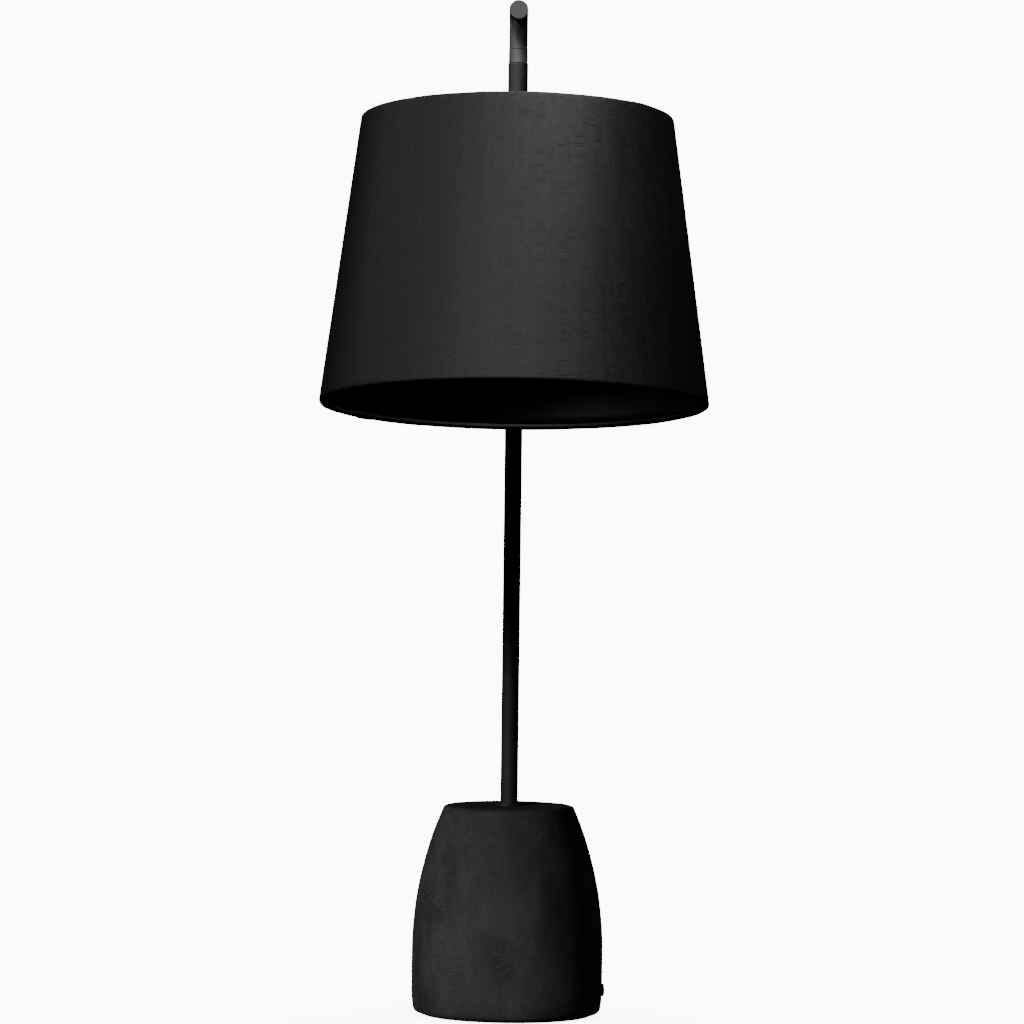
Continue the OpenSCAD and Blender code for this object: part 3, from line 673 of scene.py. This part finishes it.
def pits_on(points):
    """Seeds for casting pits: a place, a radius and a depth, most of them small."""
    pits = []
    for _ in range(PIT_COUNT):
        size = PIT_SMALLEST + (PIT_LARGEST - PIT_SMALLEST) * random.random() ** 4
        pits.append((points[random.randrange(len(points))], size, size * random.uniform(0.22, 0.5)))
    return pits


def cast_depth(points, shown):
    """How far each point of the base lies under its true face: a slow swell, and the pits."""
    sunk = np.zeros(points.shape[:2])
    step = np.arange(shown)
    fade = np.clip(np.minimum(step, shown - 1 - step) / FADE_STEPS, 0, 1)
    for i in range(BASE_ROUND):
        for j in range(shown):
            place = Vector(points[i, j])
            wander = noise.noise(place * SWELL_BROAD) + 0.5 * noise.noise(place * SWELL_FINE)
            sunk[i, j] = SWELL * (0.75 + 0.5 * wander) * fade[j]
    flat = points[:, :shown].reshape(-1, 3)
    dip = np.zeros(len(flat))
    for place, size, depth in pits_on(flat):
        near = np.abs(flat - place).max(1) < size
        reach = np.linalg.norm(flat[near] - place, axis=1) / size
        dip[near] = np.maximum(dip[near], depth * np.clip(1 - reach ** 2, 0, 1) ** 1.5)
    sunk[:, :shown] += dip.reshape(BASE_ROUND, shown) * (fade > 0)
    return sunk


def make_base(materials):
    outline, shown = base_outline()
    columns = len(outline)
    turn = np.arange(BASE_ROUND) / BASE_ROUND * FULL_TURN
    points = np.stack([
        np.outer(np.cos(turn), outline[:, 0]), np.outer(np.sin(turn), outline[:, 0]),
        np.broadcast_to(outline[:, 1], (BASE_ROUND, columns)),
    ], 2)
    run = np.roll(outline, -1, 0) - np.roll(outline, 1, 0)
    normal = np.stack([run[:, 1], -run[:, 0]], 1)
    normal /= np.linalg.norm(normal, axis=1)[:, None]
    sunk = cast_depth(points, shown)
    points[..., 0] -= sunk * normal[:, 0] * np.cos(turn)[:, None]
    points[..., 1] -= sunk * normal[:, 0] * np.sin(turn)[:, None]
    points[..., 2] -= sunk * normal[:, 1]
    faces = grid_faces(BASE_ROUND, columns, True, True, flip=True)
    new_piece("cast_base", points.reshape(-1, 3), faces, materials["black_concrete"],
              "stand", nodes=("base_body",))


# ---------------------------------------------------------------- CAD nodes


def dress_cad(materials):
    """Gives every CAD node that still shows the material of its own slot."""
    for part in frame["record"]["subparts"]:
        node = frame["nodes"][part["node"]]
        node.data.materials.clear()
        node.data.materials.append(materials[part["material_slot"]])


# ---------------------------------------------------------------- light and floor

FLOOR_SIZE = 60.0
BACKGROUND = 11.0       # brightness of the pale room and floor
FLOOR_SHARE = 0.35      # how much of the floor's brightness near the lamp is reflected light
FLOOR_NEAR, FLOOR_FAR = 0.3, 1.6
FLOOR_POWER = 1155
FLOOR_LIGHT_PLACE = (0, -0.1, 3)
FLOOR_LIGHT_SIZE = 2.5

FAR = 2.6               # distance of the studio's lights from what they are aimed at
LAMP = (0, -0.1, 0.4)
SHADE_TOP = (0.06, -0.26, 0.72)
BASE_SIDE = (0, 0, 0.08)
# The pieces each light falls on, where it is aimed, its azimuth from the camera's side (to the
# left where negative), its elevation, distance, diameter and power. Each group of pieces has
# lights of its own, as in a studio with flags. "inside" is every piece in no group below, and
# "rest" is every piece but the cloth and the base.
LIGHTS = (
    ("cloth", LAMP, -104, 30, FAR, 0.9, 4.9),
    ("cloth", LAMP, -62, 30, FAR, 0.9, 6.9),
    ("cloth", LAMP, -24, 30, FAR, 0.9, 11.0),
    ("cloth", LAMP, -5, 30, FAR, 0.9, 10.3),
    ("cloth", LAMP, 15, 30, FAR, 0.9, 7.4),
    ("cloth", LAMP, 30, 30, FAR, 0.9, 4.2),
    ("cloth", SHADE_TOP, 35, 50, 0.35, 0.25, 0.9),
    ("base", LAMP, -42, 5, FAR, 0.7, 73),
    ("base", LAMP, 5, 50, FAR, 0.6, 4),
    ("base", BASE_SIDE, 120, 3, FAR, 0.6, 1.9),
    ("base", BASE_SIDE, 180, 0, FAR, 0.15, 60),
    ("pole", LAMP, -42, 43, FAR, 0.45, 85),
    ("arm", LAMP, -10, 50, FAR, 0.6, 130),
    ("arm", LAMP, -20, 62, FAR, 0.6, 195),
    ("arm", LAMP, -45, 38, FAR, 0.6, 38),
    ("arm", LAMP, 10, 38, FAR, 0.6, 22),
    ("cap", LAMP, 25, 20, FAR, 0.6, 115),
    ("drop", LAMP, -35, 50, FAR, 0.6, 70),
    ("drop", LAMP, -50, 62, FAR, 0.6, 60),
    ("drop", LAMP, 12, 20, FAR, 0.6, 13),
    ("inside", LAMP, -45, 8, FAR, 0.7, 35),
    ("inside", LAMP, 180, 75, FAR, 0.6, 40),
    ("bulb", LAMP, 0, 70, FAR, 0.9, 22),
    ("cloth", LAMP, 180, 8, FAR, 0.6, 60),
    ("rest", LAMP, 180, 28, FAR, 0.9, 60),
)
GROUPS = {
    "cloth": ("shade_cloth",),
    "base": ("cast_base", "foot_pad", "cable_gland", "pole_escutcheon"),
    "pole": ("lower_pole",),
    "arm": ("arm_tube", "drop_stub", "swivel_collar"),
    "cap": ("arm_end_cap",),
    "drop": ("drop_tube", "knuckle_fork"),
    "bulb": ("bulb_glass", "bulb_cap"),
}
# A small lamp high on the shade's own axis. Its light just clears the top edge, so that inside the
# shade it reaches only the bottom edge's bead.
BEAD_LAMP_OVER = 0.818  # above the shade's top
BEAD_LAMP_R = 0.0015
BEAD_LAMP_POWER = 12


def area_light(name, place, aim, size, power):
    """A soft round light that faces the point it is aimed at, and isn't seen itself."""
    data = bpy.data.lights.new(name, "AREA")
    data.shape = "DISK"
    data.size = size
    data.energy = power
    light = put(name, data)
    light.location = place
    light.rotation_euler = (Vector(place) - Vector(aim)).to_track_quat("Z", "Y").to_euler()
    light.visible_camera = False
    return light


def direction(azimuth, elevation):
    turn, rise = math.radians(azimuth), math.radians(elevation)
    flat = math.cos(rise)
    return Vector((math.sin(turn) * flat, -math.cos(turn) * flat, math.sin(rise)))


def only_light(light, pieces):
    """The light falls on these pieces alone."""
    group = bpy.data.collections.new(light.name + "_falls_on")
    for piece in pieces:
        group.objects.link(piece)
    light.light_linking.receiver_collection = group


def make_bead_light(cloth):
    data = bpy.data.lights.new("bead_light", "POINT")
    data.energy = BEAD_LAMP_POWER
    data.shadow_soft_size = BEAD_LAMP_R
    light = put("bead_light", data)
    top = middle("shade_top_wire")
    light.location = top + (top - middle("shade_bottom_wire")).normalized() * BEAD_LAMP_OVER
    only_light(light, cloth)
    light.light_linking.blocker_collection = light.light_linking.receiver_collection


def make_lights(floor):
    pieces = {o.name: o for o in bpy.data.objects if o.type == "MESH" and o is not floor}
    members = {key: [pieces[name] for name in group] for key, group in GROUPS.items()}
    named = {name for group in GROUPS.values() for name in group}
    members["inside"] = [piece for name, piece in pieces.items() if name not in named]
    apart = members["cloth"] + members["base"]
    members["rest"] = [piece for piece in pieces.values() if piece not in apart]
    for i, (group, aim, azimuth, elevation, distance, size, power) in enumerate(LIGHTS):
        place = Vector(aim) + direction(azimuth, elevation) * distance
        only_light(area_light(f"{group}_light_{i}", place, aim, size, power), members[group])
    make_bead_light(members["cloth"])
    only_light(area_light("floor_light", FLOOR_LIGHT_PLACE, (0, 0, 0), FLOOR_LIGHT_SIZE,
                          FLOOR_POWER), [floor])


def make_floor():
    """A floor as pale as the room. Near the lamp, part of its brightness is reflected light, so
    that it takes a soft shadow."""
    half_size = FLOOR_SIZE / 2
    corners = [(-half_size, -half_size, 0), (half_size, -half_size, 0),
               (half_size, half_size, 0), (-half_size, half_size, 0)]
    mesh = bpy.data.meshes.new("floor")
    mesh.from_pydata(corners, [], [(0, 1, 2, 3)])
    floor = put("floor", mesh)
    n = Nodes("pale_floor")
    far = n.add("ShaderNodeVectorMath", {0: n.coordinates("Object")},
                operation="LENGTH").outputs["Value"]
    share = n.span(far, FLOOR_NEAR, FLOOR_FAR, FLOOR_SHARE, 0.0)
    glow = n.math("MULTIPLY", n.math("SUBTRACT", 1.0, share), BACKGROUND)
    mesh.materials.append(n.finish(Base_Color=n.blend(share, grey(0.0), grey(1.0)), Roughness=1.0,
                                   Specular_IOR_Level=0.0, Emission_Color=grey(1.0),
                                   Emission_Strength=glow))
    floor.visible_diffuse = False
    floor.visible_glossy = False
    return floor


def make_world():
    world = bpy.data.worlds.new("pale_room")
    bpy.context.scene.world = world
    world.use_nodes = True
    back = world.node_tree.nodes["Background"]
    back.inputs["Color"].default_value = (1, 1, 1, 1)
    back.inputs["Strength"].default_value = BACKGROUND
    world.cycles_visibility.diffuse = False
    world.cycles_visibility.glossy = False


# ---------------------------------------------------------------- build

make_camera()
looks = make_materials()
dress_cad(looks)
shade_cone = Cone()
make_cloth(shade_cone, looks)
make_lining(shade_cone, looks)
make_base(looks)
stage_floor = make_floor()
make_world()
make_lights(stage_floor)

bpy.context.view_layer.update()
